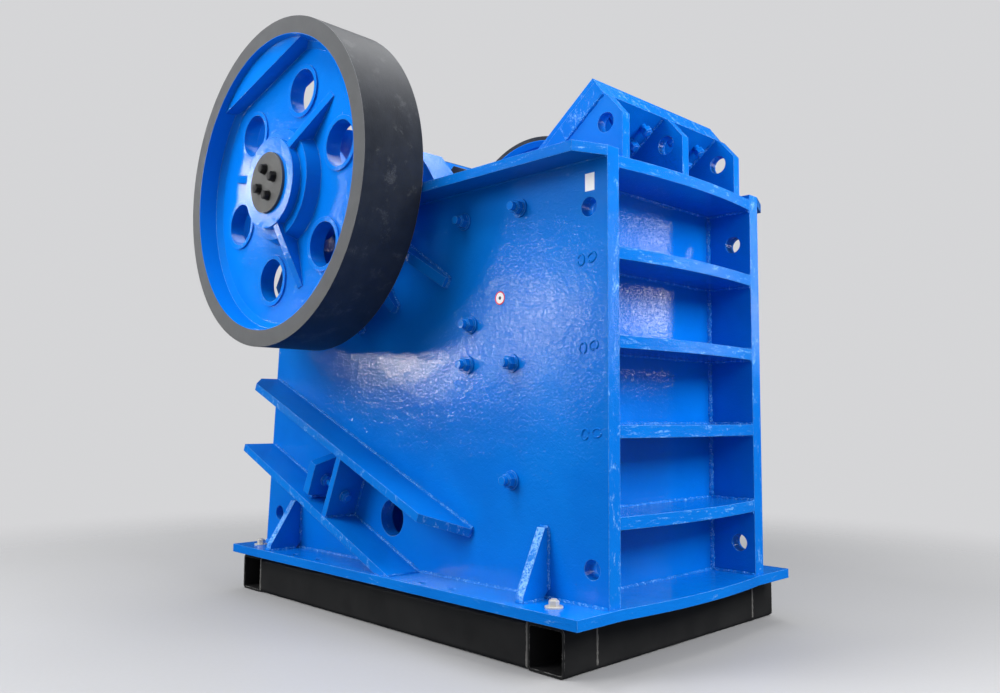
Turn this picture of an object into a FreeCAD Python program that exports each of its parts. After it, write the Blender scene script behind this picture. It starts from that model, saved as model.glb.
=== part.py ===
import FreeCAD, Part
import math
import os

import Sketcher
from FreeCAD import Placement, Rotation, Vector

# Single-toggle jaw crusher, welded from heavy plate, on its transport skid.
#
# Millimetres. +X points out of the front, the ribbed end behind the fixed jaw. +Z is up.
# "Left" is the -Y side. Left and right mirror each other about Y = 0, but for the shaft's ends:
# the flywheel is on the left and the belt pulley on the right. The origin lies on the
# ground under the skid, halfway along the whole length and width.
#
# Every driving size is a cell of the "Sizes" sheet. The script reads a cell as a Size, which
# carries the number together with its expression, so that the arithmetic below reads as
# ordinary sums and each property or sketch constraint is bound to the sheet.

doc = FreeCAD.newDocument("JawCrusher")
sheet = doc.addObject("Spreadsheet::Sheet", "Sizes")

SIZES = [
    # skid
    ("front_x", 1055, "side plates' front edge, ahead of the origin"),
    ("skid_tall", 156, "height of the skid's square tube"),
    ("skid_wide", 160, "width of the skid's square tube"),
    ("skid_wall", 10, "wall of the skid's square tube"),
    ("skid_corner", 18, "outer corner radius of the square tube"),
    ("skid_reach", 114, "skid out from the left side plate"),
    ("skid_reach_right", 222, "skid out from the right side plate, farther than on the left"),
    ("skid_front_set", 87, "front tube's front face behind the front edge"),
    ("skid_rear_set", 2111, "rear tube's rear face behind the front edge"),
    ("shim_tall", 18, "packing between skid and base plate"),
    # base plate
    ("base_thick", 36, "base plate"),
    ("base_reach", 173, "base plate out from the side plates"),
    ("base_nose", 15.5, "base plate ahead of the side plates"),
    ("base_back", 2111, "base plate's rear edge behind the front edge"),
    ("anchor_reach", 130, "anchor holes out from the side plates"),
    ("anchor_r", 14, "anchor hole radius"),
    ("mouth_front", 300, "discharge opening's front edge behind the front edge"),
    ("mouth_back", 1150, "discharge opening's rear edge behind the front edge"),
    ("mouth_gap", 24, "discharge opening's side in from the side plates"),
    # side plates and flanges
    ("side_out", 484, "outer face of a side plate"),
    ("side_thick", 60, "side plate"),
    ("side_tall", 1500, "side plate above the base plate"),
    ("side_back", 2105, "side plate's rear foot behind the front edge"),
    ("pin_hole_r", 33, "handling holes in the side plates"),
    ("view_hole_r", 74, "inspection hole beside the toggle"),
    ("flange_reach", 122, "top flange out from the side plate"),
    ("flange_thick", 36, "top flange"),
    ("flange_long", 1180, "top flange's rear end behind the front edge"),
    # front end
    ("wall_set", 193, "front wall's face behind the front edge"),
    ("wall_thick", 60, "front wall"),
    ("rib_pitch", 295, "height from one front rib to the next"),
    ("rib_first", 287, "top of the lowest front rib above the base plate"),
    ("rib_thick", 42, "front rib"),
    ("deck_drop", 24, "front top plate below the flanges"),
    ("deck_thick", 40, "front top plate"),
    ("bow", 32, "outward bow of the front edges"),
    # chamber
    ("jaw_thick", 87, "jaw plate over its teeth"),
    ("jaw_gap", 9, "jaw plates' side in from the cheek plates"),
    ("tooth_deep", 28, "jaw plate tooth"),
    ("fixed_jaw_low", 60, "fixed jaw plate's lower end above the base plate"),
    ("jaw_under", 6, "fixed jaw plate's upper end below the front top plate"),
    ("setting", 90, "closed side setting"),
    ("jaw_lean", 14, "lean of the swing jaw in degrees"),
    ("jaw_over", 28, "swing jaw plate longer than the side plates are tall"),
    ("swing_low", 80, "swing jaw plate's lower end above the base plate"),
    ("cheek_thick", 30, "cheek plate"),
    # hood over the fixed jaw
    ("hood_top_set", 148, "hood's top rear edge behind the front edge"),
    ("hood_rise", 294, "hood's top rear edge above the side plates"),
    ("hood_lean", 37.24, "hood from the horizontal in degrees"),
    ("hood_long", 330, "hood along its slope"),
    ("hood_thick", 63, "hood's outer plate"),
    ("liner_thick", 19, "hood's wear liner"),
    ("hood_gap", 45, "hood's ends in from the side plates"),
    ("lug_thick", 40, "lifting lug"),
    ("lug_hole_r", 35, "lifting lug hole radius"),
    # drive
    ("shaft_set", 1472.5, "shaft axis behind the front edge"),
    ("shaft_rise", 72, "shaft axis above the side plates"),
    ("shaft_r", 100, "main journal radius"),
    ("throw", 14, "eccentric throw"),
    ("throw_way", 83.7, "eccentric's direction below +X in degrees"),
    ("crank_step", 30, "eccentric journal's radius over the main journal's"),
    ("crank_short", 4, "eccentric journal's ends in from the swing jaw's sides"),
    ("wheel_r", 685, "flywheel radius"),
    ("wheel_in_r", 613.6, "flywheel rim's inner radius"),
    ("wheel_wide", 273, "flywheel rim width"),
    ("wheel_reach", 404, "flywheel's outer face out from the side plate"),
    ("web_set", 98, "web behind the rim's outer face"),
    ("web_thick", 50, "flywheel web"),
    ("hub_r", 190, "hub ring radius"),
    ("hub_in", 270, "hub's inner end behind the rim's outer face"),
    ("wheel_hole_r", 92, "flywheel hole radius"),
    ("wheel_hole_at", 403, "flywheel holes from the axis"),
    ("pulley_r", 555, "belt pulley radius"),
    ("pulley_wide", 188, "belt pulley rim width"),
    ("pulley_lip", 25, "pulley rim's flat face, and the bevel inside it"),
    ("pulley_web", 40, "pulley web"),
    ("pulley_hole_r", 75, "pulley hole radius"),
    ("pulley_hole_at", 350, "pulley holes from the axis"),
    ("groove_pitch", 25.5, "from one belt groove to the next"),
    ("groove_deep", 19, "belt groove"),
    ("groove_wide", 22, "belt groove at its mouth"),
    ("groove_root", 12, "belt groove at its root"),
    ("cover_r", 127, "shaft end cover radius"),
    ("cover_proud", 6, "shaft end cover proud of the rim"),
    ("weight_chord", 516, "counterweight's flat from the axis"),
    ("weight_set", 30, "counterweight's face behind the rim face"),
    ("weight_way", 105, "counterweight's direction above +X in degrees"),
    ("bearing_r", 300, "bearing housing radius"),
    ("bearing_reach", 60, "bearing housing out from the side plate"),
    ("bearing_inset", 15, "bearing housing in from the side plate"),
    ("run_fit", 0.05, "radial clearance of a running fit"),
    # toggle
    ("toggle_set", 1440, "toggle beam's centre behind the front edge"),
    ("toggle_up", 355, "toggle beam's centre above the base plate"),
    ("toggle_lean", 22.7, "slope of the toggle line in degrees"),
    ("toggle_gap_side", 94, "toggle plate's ends in from the side plates"),
    ("toggle_gap", 36, "open joint between toggle plate and swing jaw"),
    ("swing_gap", 40, "swing jaw's sides in from the side plates"),
    ("stay_out", 155, "sloping ribs out from the side plate"),
    ("stay_thick", 33, "sloping rib"),
    ("gusset_thick", 35, "foot gusset"),
    ("housing_rib_thick", 40, "rib under the bearing housing"),
    ("ring_out", 118, "bearing seat ring out from the side plate"),
    ("rib_tip", 25, "bearing rib's outer end out from the side plate"),
]

for row, (alias, number, note) in enumerate(SIZES, 1):
    sheet.set(f"A{row}", note)
    sheet.set(f"B{row}", str(number))
    sheet.setAlias(f"B{row}", alias)
doc.recompute()


class Size:
    """A length or an angle, with the spreadsheet expression that gives it."""

    def __init__(self, value, text=None):
        self.value = float(value)
        self.text = text if text is not None else f"({self.value!r})"

    def _with(self, other, value, sign):
        return Size(value, f"({self.text} {sign} {as_size(other).text})")

    def __add__(self, other):
        return self._with(other, self.value + as_size(other).value, "+")

    def __sub__(self, other):
        return self._with(other, self.value - as_size(other).value, "-")

    def __mul__(self, other):
        return self._with(other, self.value * as_size(other).value, "*")

    def __truediv__(self, other):
        return self._with(other, self.value / as_size(other).value, "/")

    def __radd__(self, other):
        return as_size(other) + self

    def __rsub__(self, other):
        return as_size(other) - self

    def __rmul__(self, other):
        return as_size(other) * self

    def __neg__(self):
        return as_size(0) - self


def as_size(item):
    return item if isinstance(item, Size) else Size(item)


def sine(angle):
    return Size(math.sin(math.radians(angle.value)), f"sin({angle.text} * 1 deg)")


def cosine(angle):
    return Size(math.cos(math.radians(angle.value)), f"cos({angle.text} * 1 deg)")


def root(item):
    return Size(math.sqrt(item.value), f"sqrt({item.text})")


class Sheet:
    """Reads a cell of the sheet by its alias, as in S.side_out."""

    def __getattr__(self, alias):
        return Size(sheet.get(alias), f"Sizes.{alias}")


S = Sheet()


# ---------------------------------------------------------------- shared places

def back(distance):
    """X of a place that far behind the side plates' front edge."""
    return S.front_x - distance


base_top = S.skid_tall + S.shim_tall + S.base_thick


def up(height):
    """Z of a place that high above the base plate."""
    return base_top + height


# across, from the side plates
side_in = S.side_out - S.side_thick
skid_left = -(S.side_out + S.skid_reach)
skid_right = S.side_out + S.skid_reach_right
base_half = S.side_out + S.base_reach
anchor_y = S.side_out + S.anchor_reach
mouth_half = side_in - S.mouth_gap
jaw_half = side_in - S.cheek_thick - S.jaw_gap
hood_half = side_in - S.hood_gap
swing_half = side_in - S.swing_gap
crank_half = swing_half - S.crank_short
toggle_half = side_in - S.toggle_gap_side
bearing_out = S.side_out + S.bearing_reach
bearing_in = side_in - S.bearing_inset
wheel_face = S.side_out + S.wheel_reach

# upward, from the side plates' height
shaft_up = S.side_tall + S.shaft_rise
hood_top = S.side_tall + S.hood_rise
deck_top = S.side_tall - S.deck_drop
fixed_jaw_top = deck_top - S.jaw_under
jaw_long = S.side_tall + S.jaw_over

# lengthwise, and the two axes
wall_back = S.wall_set + S.wall_thick
jaw_face = wall_back + S.jaw_thick
axis_x = back(S.shaft_set)
axis_z = up(shaft_up)
crank_r = S.shaft_r + S.crank_step
crank_x = axis_x + S.throw * cosine(S.throw_way)
crank_z = axis_z - S.throw * sine(S.throw_way)
LEFT = -1
RIGHT = 1


# ---------------------------------------------------------------- building helpers

NODES = []


def bind(item, path, size):
    item.setExpression(path, as_size(size).text)


def keep(item, label):
    """Names a finished sub-part, which is then written under that name."""
    item.Label = label
    NODES.append(item)
    return item


def place(item, x=0, y=0, z=0, turn=None):
    """Puts an object, turned first about an axis through its own origin by a bound angle."""
    if turn is not None:
        axis, angle = turn
        item.Placement = Placement(Vector(), Rotation(axis, as_size(angle).value))
        bind(item, "Placement.Rotation.Angle", as_size(angle))
    for side, size in zip("xyz", (x, y, z)):
        bind(item, f"Placement.Base.{side}", size)
    return item


def block(name, x, y, z):
    """A box between a low and a high place on each axis."""
    box = doc.addObject("Part::Box", name)
    for (low, high), side in zip((x, y, z), ("Length", "Width", "Height")):
        bind(box, side, as_size(high) - low)
    return place(box, x[0], y[0], z[0])


ALONG_Y = Rotation(Vector(1, 0, 0), -90)


def rod(name, radius, low, high, x, z):
    """A cylinder along Y between low and high."""
    bar = doc.addObject("Part::Cylinder", name)
    bar.Placement = Placement(Vector(), ALONG_Y)
    bind(bar, "Radius", radius)
    bind(bar, "Height", as_size(high) - low)
    for side, size in zip("xyz", (x, low, z)):
        bind(bar, f"Placement.Base.{side}", size)
    return bar


def fuse(name, parts):
    joined = doc.addObject("Part::MultiFuse", name)
    joined.Shapes = parts
    return joined


def group(name, parts):
    """Like pieces that do not touch, kept as one sub-part."""
    return fuse(name, parts)


def cut(name, base, tool):
    result = doc.addObject("Part::Cut", name)
    result.Base = base
    result.Tool = tool
    return result


def mirror(name, source):
    """The right-hand copy of a left-hand piece."""
    copy = doc.addObject("Part::Mirroring", name)
    copy.Source = source
    copy.Base = Vector(0, 0, 0)
    copy.Normal = Vector(0, 1, 0)
    return copy


def pair(label, left):
    """Keeps a left-hand piece and its mirrored right-hand twin."""
    keep(left, f"{label}_left")
    keep(mirror(f"{label}_right", left), f"{label}_right")


def arc_centre(start, end, radius, side):
    """Centre of an arc from start to end, on the left (+1) or right (-1) of that chord."""
    mid = (start + end) * 0.5
    half = (end - start).Length / 2
    across = Vector(-(end.y - start.y), end.x - start.x, 0).normalize()
    return mid + across * side * math.sqrt(radius ** 2 - half ** 2)


def draw_loop(sketch, corners):
    """A closed loop. A corner is (u, v), or (u, v, radius, side) where an arc starts there."""
    spots = [Vector(as_size(c[0]).value, as_size(c[1]).value, 0) for c in corners]
    starts = []
    ends = []
    for index, corner in enumerate(corners):
        first = spots[index]
        last = spots[(index + 1) % len(spots)]
        if len(corner) == 2:
            edge = sketch.addGeometry(Part.LineSegment(first, last))
            starts.append((edge, 1))
            ends.append((edge, 2))
            continue
        radius, side = corner[2:]
        centre = arc_centre(first, last, as_size(radius).value, side)
        turn = [math.atan2(p.y - centre.y, p.x - centre.x) for p in (first, last)]
        if side < 0:
            turn.reverse()
        circle = Part.Circle(centre, Vector(0, 0, 1), as_size(radius).value)
        edge = sketch.addGeometry(Part.ArcOfCircle(circle, turn[0], turn[1]))
        starts.append((edge, 1 if side > 0 else 2))
        ends.append((edge, 2 if side > 0 else 1))
        number = sketch.addConstraint(Sketcher.Constraint("Radius", edge, as_size(radius).value))
        bind(sketch, f"Constraints[{number}]", radius)
    for index, corner in enumerate(corners):
        edge, point = starts[index]
        sketch.addConstraint(Sketcher.Constraint("Coincident", *ends[index - 1], edge, point))
        for kind, size, value in (("DistanceX", corner[0], spots[index].x),
                                  ("DistanceY", corner[1], spots[index].y)):
            number = sketch.addConstraint(Sketcher.Constraint(kind, -1, 1, edge, point, value))
            bind(sketch, f"Constraints[{number}]", size)


def draw_circle(sketch, u, v, radius):
    centre = Vector(as_size(u).value, as_size(v).value, 0)
    circle = Part.Circle(centre, Vector(0, 0, 1), as_size(radius).value)
    edge = sketch.addGeometry(circle)
    for kind, size, value in (("DistanceX", u, centre.x), ("DistanceY", v, centre.y)):
        number = sketch.addConstraint(Sketcher.Constraint(kind, -1, 1, edge, 3, value))
        bind(sketch, f"Constraints[{number}]", size)
    number = sketch.addConstraint(Sketcher.Constraint("Radius", edge, as_size(radius).value))
    bind(sketch, f"Constraints[{number}]", radius)


def new_sketch(body, plane, name):
    sketch = body.newObject("Sketcher::SketchObject", name)
    support = [part for part in body.Origin.OriginFeatures if part.Role == f"{plane}_Plane"]
    sketch.AttachmentSupport = [(support[0], "")]
    sketch.MapMode = "FlatFace"
    return sketch


def plate(name, plane, corners, thick, circles=(), loops=()):
    """A plate drawn on one of its own planes: XY grows to +Z, YZ to +X and XZ to -Y."""
    body = doc.addObject("PartDesign::Body", name)
    sketch = new_sketch(body, plane, f"{name}_outline")
    draw_loop(sketch, corners)
    for loop in loops:
        draw_loop(sketch, loop)
    for circle in circles:
        draw_circle(sketch, *circle)
    pad = body.newObject("PartDesign::Pad", f"{name}_pad")
    pad.Profile = sketch
    bind(pad, "Length", thick)
    return body


def upright(name, corners, low, high, circles=(), loops=()):
    """A plate drawn in X and Z, filling Y from low to high."""
    body = plate(name, "XZ", corners, as_size(high) - low, circles, loops)
    return place(body, y=high)


def flat(name, corners, low, high, circles=(), loops=()):
    """A plate drawn in X and Y, filling Z from low to high."""
    body = plate(name, "XY", corners, as_size(high) - low, circles, loops)
    return place(body, z=low)


def rectangle(u0, v0, u1, v1):
    return [(u0, v0), (u1, v0), (u1, v1), (u0, v1)]


def rounded(u0, v0, u1, v1, r):
    """A rectangle with round corners, walked with the corner arcs' centres on its left."""
    return [(u0 + r, v0), (u1 - r, v0, r, 1), (u1, v0 + r), (u1, v1 - r, r, 1),
            (u1 - r, v1), (u0 + r, v1, r, 1), (u0, v1 - r), (u0, v0 + r, r, 1)]


def bowed(rear, edge, half):
    """A front plate's outline in X and Y, whose front edge bows outward between the sides."""
    radius = (half * half + S.bow * S.bow) / (2 * S.bow)
    return [(rear, -half), (edge, -half, radius, 1), (edge, half), (rear, half)]


# ---------------------------------------------------------------- skid

def tube_loops(u0, u1):
    """Outer and inner outline of the square tube from u0 to u1, standing on the ground."""
    wall = S.skid_wall
    outer = rounded(as_size(u0), as_size(0), as_size(u1), S.skid_tall, S.skid_corner)
    inner = rounded(u0 + wall, wall, u1 - wall, S.skid_tall - wall, S.skid_corner - wall)
    return outer, inner


def cross_tube(label, front_set):
    outer, inner = tube_loops(back(front_set + S.skid_wide), back(front_set))
    keep(upright(label, outer, skid_left, skid_right, loops=[inner]), label)


def side_beam(label, low):
    outer, inner = tube_loops(low, low + S.skid_wide)
    rear = back(S.skid_rear_set - S.skid_wide)
    front = back(S.skid_front_set + S.skid_wide)
    body = plate(label, "YZ", outer, front - rear, loops=[inner])
    keep(place(body, x=rear), label)


SHIM_RUNS = [(0, 334), (633, 978), (1720, 2111)]


def shims():
    pads = []
    for low in (skid_left, skid_right - S.skid_wide):
        for first, last in SHIM_RUNS:
            edges = (low, low + S.skid_wide)
            name = f"shim_{len(pads)}"
            front = S.skid_front_set if first == 0 else as_size(first)
            pads.append(block(name, (back(last), back(front)), edges,
                              (S.skid_tall, S.skid_tall + S.shim_tall)))
    return group("shims", pads)


cross_tube("skid_front_tube", S.skid_front_set)
cross_tube("skid_rear_tube", S.skid_rear_set - S.skid_wide)
side_beam("skid_side_beam_left", skid_left)
side_beam("skid_side_beam_right", skid_right - S.skid_wide)
keep(shims(), "shims")


# ---------------------------------------------------------------- base plate

ANCHOR_ROWS = (600, 762, 1450, 1636)


def base_plate():
    nose = back(-S.base_nose)
    rear = back(S.base_back)
    radius = (side_in * side_in + S.bow * S.bow) / (2 * S.bow)
    outline = [(rear, -base_half), (nose, -base_half), (nose, -side_in, radius, 1),
               (nose, side_in), (nose, base_half), (rear, base_half)]
    mouth = rectangle(back(S.mouth_back), -mouth_half, back(S.mouth_front), mouth_half)
    holes = [(back(row), side * anchor_y, S.anchor_r)
             for row in ANCHOR_ROWS for side in (LEFT, RIGHT)]
    return flat("base_plate", outline, base_top - S.base_thick, base_top, holes, [mouth])


keep(base_plate(), "base_plate")


# ---------------------------------------------------------------- side plates and flanges

bearing_seat_r = S.bearing_r - 38


def side_plate():
    """The bearing's round seat cuts down into the plate's top edge."""
    drop = shaft_up - S.side_tall
    half = root(bearing_seat_r * bearing_seat_r - drop * drop)
    top = up(S.side_tall)
    outline = [
        (back(S.side_back), up(0)),
        (back(0), up(0)),
        (back(0), top),
        (axis_x + half, top, bearing_seat_r, -1),
        (axis_x - half, top),
        (back(S.side_back - 130), top),
        (back(S.side_back - 95), up(S.side_tall - 250)),
        (back(S.side_back - 71), up(S.side_tall - 560)),
    ]
    holes = [(back(78), up(S.side_tall - 194), S.pin_hole_r), (back(68), up(118), S.pin_hole_r),
             (back(1992), up(143), S.pin_hole_r), (back(1118), up(193), S.view_hole_r)]
    return upright("side_plate_left", outline, -S.side_out, -side_in, holes)


def top_flange():
    outer = -(S.side_out + S.flange_reach)
    outline = [(back(0), -S.side_out), (back(50), outer), (back(S.flange_long), outer),
               (back(S.flange_long), -S.side_out)]
    outline.reverse()
    return flat("top_flange_left", outline, up(S.side_tall - S.flange_thick), up(S.side_tall))


pair("side_plate", side_plate())
pair("top_flange", top_flange())


# ---------------------------------------------------------------- front end

def front_plate(label, top, thick, rear_set):
    outline = bowed(back(rear_set), back(0), side_in)
    keep(flat(label, outline, up(top - thick), up(top)), label)


keep(block("front_wall", (back(wall_back), back(S.wall_set)), (-side_in, side_in),
           (up(0), up(deck_top - S.deck_thick))), "front_wall")
for number in range(4):
    front_plate(f"front_rib_{number + 1}", S.rib_first + number * S.rib_pitch, S.rib_thick,
                S.wall_set)
front_plate("front_top_plate", deck_top, S.deck_thick, wall_back)


# ---------------------------------------------------------------- rear end

REAR_WALL_SET = 1925
REAR_RIB_END = 2045


def rear_ribs():
    ribs = [block(f"rear_rib_{number + 1}", (back(REAR_RIB_END), back(REAR_WALL_SET + 40)),
                  (-side_in, side_in),
                  (up(S.rib_first + number * S.rib_pitch - S.rib_thick),
                   up(S.rib_first + number * S.rib_pitch)))
            for number in range(3)]
    return group("rear_ribs", ribs)


keep(block("rear_wall", (back(REAR_WALL_SET + 40), back(REAR_WALL_SET)), (-side_in, side_in),
           (up(0), up(S.rib_first + 2 * S.rib_pitch))), "rear_wall")
keep(rear_ribs(), "rear_ribs")


# ---------------------------------------------------------------- toggle line

def on_slope(along, above):
    """X and Z of a place on the toggle line: along it, down to the front, and above it."""
    lean = S.toggle_lean
    return (back(S.toggle_set) + along * cosine(lean) + above * sine(lean),
            up(S.toggle_up) - along * sine(lean) + above * cosine(lean))


def slope_block(name, along, above, half):
    corners = [on_slope(as_size(a), as_size(b)) for a, b in
               ((along[0], above[0]), (along[1], above[0]), (along[1], above[1]),
                (along[0], above[1]))]
    return upright(name, corners, -half, half)


TOGGLE_TURN = (Vector(0, 1, 0), S.toggle_lean)
BEAM_FRONT = 110
SEAT_DEEP = 40
SWING_SEAT_BACK = 520
SWING_SEAT_FRONT = 570
UPPER_STAY = 133
LOWER_STAY = -133

keep(slope_block("toggle_beam", (-150, BEAM_FRONT), (-115, 115), side_in), "toggle_beam")
keep(slope_block("toggle_seat_rear", (BEAM_FRONT, BEAM_FRONT + SEAT_DEEP), (-60, 60),
                 toggle_half), "toggle_seat_rear")
keep(slope_block("toggle_plate", (BEAM_FRONT + SEAT_DEEP, SWING_SEAT_BACK - S.toggle_gap),
                 (-30, 30), toggle_half), "toggle_plate")


def upper_stay():
    """A flat bar along the slope, with its lower end cut back to the side plate."""
    inner = -S.side_out
    outer = -(S.side_out + S.stay_out)
    outline = [(-708, outer + 60), (-640, outer), (668, outer), (810, inner - 14), (810, inner),
               (-708, inner)]
    body = plate("upper_stay_left", "XY", outline, S.stay_thick)
    x, z = on_slope(as_size(0), as_size(UPPER_STAY))
    return place(body, x=x, z=z, turn=TOGGLE_TURN)


def lower_stay():
    """A flat bar along the slope that runs down onto the base plate."""
    def foot(above):
        reach = (S.toggle_up + above * cosine(S.toggle_lean)) / sine(S.toggle_lean)
        return on_slope(reach, above)
    low = LOWER_STAY - S.stay_thick
    corners = [on_slope(as_size(-615), low), foot(low), foot(as_size(LOWER_STAY)),
               on_slope(as_size(-615), as_size(LOWER_STAY))]
    return upright("lower_stay_left", corners, -(S.side_out + S.stay_out), -S.side_out)


def adjuster():
    """Gusset and lug that hold the toggle's adjusting screw, square to the slope."""
    inner = -S.side_out
    web = [(inner, LOWER_STAY), (inner, UPPER_STAY), (inner - 150, UPPER_STAY),
           (inner - 150, LOWER_STAY)]
    lug = [(inner, -125), (inner, 85), (inner - 150, 32), (inner - 150, -107)]
    parts = []
    for name, outline, start, thick in (("adjuster_web", web, 95, 30),
                                        ("adjuster_lug", lug, -74, 42)):
        body = plate(name, "YZ", list(reversed(outline)), as_size(thick),
                     [(inner - 80, as_size(-38), as_size(17))])
        x, z = on_slope(as_size(start), as_size(0))
        parts.append(place(body, x=x, z=z, turn=TOGGLE_TURN))
    return group("adjuster_left", parts)


pair("upper_stay", upper_stay())
pair("lower_stay", lower_stay())
pair("adjuster", adjuster())


# ---------------------------------------------------------------- foot gussets

def foot_gussets():
    """Upright gussets across the base flange, with a corner cut clear of the welds."""
    inner = -S.side_out
    parts = []
    for name, front, tall, head, reach in (("front_foot", 258, 235, 18, 122),
                                           ("rear_foot", 1800, 214, 34, 155)):
        outline = [(inner, up(28)), (inner, up(tall)), (inner - head, up(tall)),
                   (inner - reach, up(22)), (inner - reach, up(0)), (inner - 28, up(0))]
        body = plate(name, "YZ", outline, S.gusset_thick)
        parts.append(place(body, x=back(front + S.gusset_thick)))
    return group("foot_gussets_left", parts)


pair("foot_gussets", foot_gussets())


# ---------------------------------------------------------------- bearing housings

def bearing_housing():
    """Housing with a sloping front foot and a rear foot, standing on flange and side plate."""
    top = up(S.side_tall)
    r = S.bearing_r
    reach = r * math.sqrt(3) / 2
    corners = [
        (back(789), top), (back(850), top + 88), (back(920), top + 168),
        (axis_x + reach, axis_z + r / 2, r, 1), (axis_x - reach, axis_z + r / 2),
        (back(1940), top + 140), (back(1975), top),
    ]
    foot = upright("housing_foot", corners, -bearing_out, -bearing_in)
    barrel = rod("housing_barrel", bearing_seat_r, -bearing_out, -bearing_in, axis_x, axis_z)
    collar = rod("housing_collar", S.shaft_r + 75, -(bearing_out + 16), -bearing_out,
                 axis_x, axis_z)
    bore = rod("housing_bore", S.shaft_r + S.run_fit, -(bearing_out + 20),
               -(bearing_in - 5), axis_x, axis_z)
    solid = fuse("housing_solid", [foot, barrel, collar])
    return cut("bearing_housing_left", solid, bore)


HOUSING_RIBS = [(33, 823), (55, 642), (78, 620), (101, 620), (124, 640), (147, 660)]


def housing_ring():
    """Half-round seat welded to the side plate under the housing's barrel."""
    drop = shaft_up - S.side_tall
    wide = root(S.bearing_r * S.bearing_r - drop * drop)
    narrow = root(bearing_seat_r * bearing_seat_r - drop * drop)
    top = up(S.side_tall)
    corners = [(axis_x - wide, top, S.bearing_r, 1), (axis_x + wide, top),
               (axis_x + narrow, top, bearing_seat_r, -1), (axis_x - narrow, top)]
    return upright("housing_ring", corners, -(S.side_out + S.ring_out), -S.side_out)


def housing_ribs():
    """Ring and radiating ribs that carry the bearing's load into the side plate."""
    parts = [housing_ring()]
    inner = -S.side_out
    for way, reach in HOUSING_RIBS:
        outline = [(S.bearing_r - 5, inner), (S.bearing_r - 5, inner - S.ring_out),
                   (as_size(reach), inner - S.rib_tip), (as_size(reach), inner)]
        body = plate(f"housing_rib_{way}", "XY", outline, S.housing_rib_thick)
        bind(body.Group[0], "AttachmentOffset.Base.z", S.housing_rib_thick / -2)
        parts.append(place(body, x=axis_x, z=axis_z, turn=(Vector(0, 1, 0), way)))
    return fuse("housing_ribs_left", parts)


pair("bearing_housing", bearing_housing())
pair("housing_ribs", housing_ribs())


# ---------------------------------------------------------------- jaw plates and cheeks

TEETH = 11


def fixed_jaw_corners():
    """Teeth face the chamber, towards -X."""
    pitch = 2 * jaw_half / TEETH
    root_x = back(jaw_face - S.tooth_deep)
    corners = [(back(wall_back), jaw_half), (root_x, jaw_half)]
    for tooth in range(TEETH):
        high = jaw_half - tooth * pitch
        corners += [(back(jaw_face), high - pitch * 0.3), (back(jaw_face), high - pitch * 0.7),
                    (root_x, high - pitch)]
    corners += [(back(wall_back), -jaw_half)]
    return corners


keep(flat("fixed_jaw_plate", fixed_jaw_corners(), up(S.fixed_jaw_low), up(fixed_jaw_top)),
     "fixed_jaw_plate")


def jaw_line(along, behind):
    """X and Z on the swing jaw: up along its face from the lower end, and behind the face."""
    lean = S.jaw_lean
    return (back(jaw_face + S.setting) - along * sine(lean) - behind * cosine(lean),
            up(S.swing_low) + along * cosine(lean) - behind * sine(lean))


def cheeks():
    """Upper and lower cheek plate of one side, following the swing jaw at rest."""
    front = back(wall_back + 2)
    low = -side_in
    high = low + S.cheek_thick
    parts = []
    for name, bottom, top in (("cheek_lower", as_size(100), as_size(870)),
                              ("cheek_upper", as_size(882), S.side_tall - 10)):
        corners = [(front, up(bottom)), (front, up(top)), (back(560 + top * 0.24), up(top)),
                   (back(560 + bottom * 0.24), up(bottom))]
        parts.append(upright(name, list(reversed(corners)), low, high))
    return group("cheek_plates_left", parts)


pair("cheek_plates", cheeks())


# ---------------------------------------------------------------- hood

def hood_line(down, out):
    """X and Z on the hood: down its slope from the top, and out from its rear face."""
    lean = S.hood_lean
    return (back(S.hood_top_set) - down * cosine(lean) + out * sine(lean),
            up(hood_top) - down * sine(lean) - out * cosine(lean))


def hood_board(label, inner, outer):
    top = as_size(0)
    corners = [hood_line(top, inner), hood_line(S.hood_long, inner),
               hood_line(S.hood_long, outer), hood_line(top, outer)]
    keep(upright(label, corners, -hood_half, hood_half), label)


def hood_lug(number, low):
    top = up(S.side_tall)
    out = S.liner_thick + S.hood_thick
    corners = [(back(18), up(deck_top)), (back(18), top + 143), (back(80), top + 216),
               hood_line(as_size(0), out), hood_line(S.hood_long, out),
               (back(wall_back), up(deck_top))]
    hole = (back(90), top + 122, S.lug_hole_r)
    label = f"hood_lug_{number}"
    keep(upright(label, corners, low, low + S.lug_thick, [hole]), label)


hood_board("hood_plate", S.liner_thick, S.liner_thick + S.hood_thick)
hood_board("hood_liner", as_size(0), S.liner_thick)
hood_lug(1, -hood_half)
hood_lug(2, -S.lug_thick / 2)
hood_lug(3, hood_half - S.lug_thick)


# ---------------------------------------------------------------- swing jaw

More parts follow.
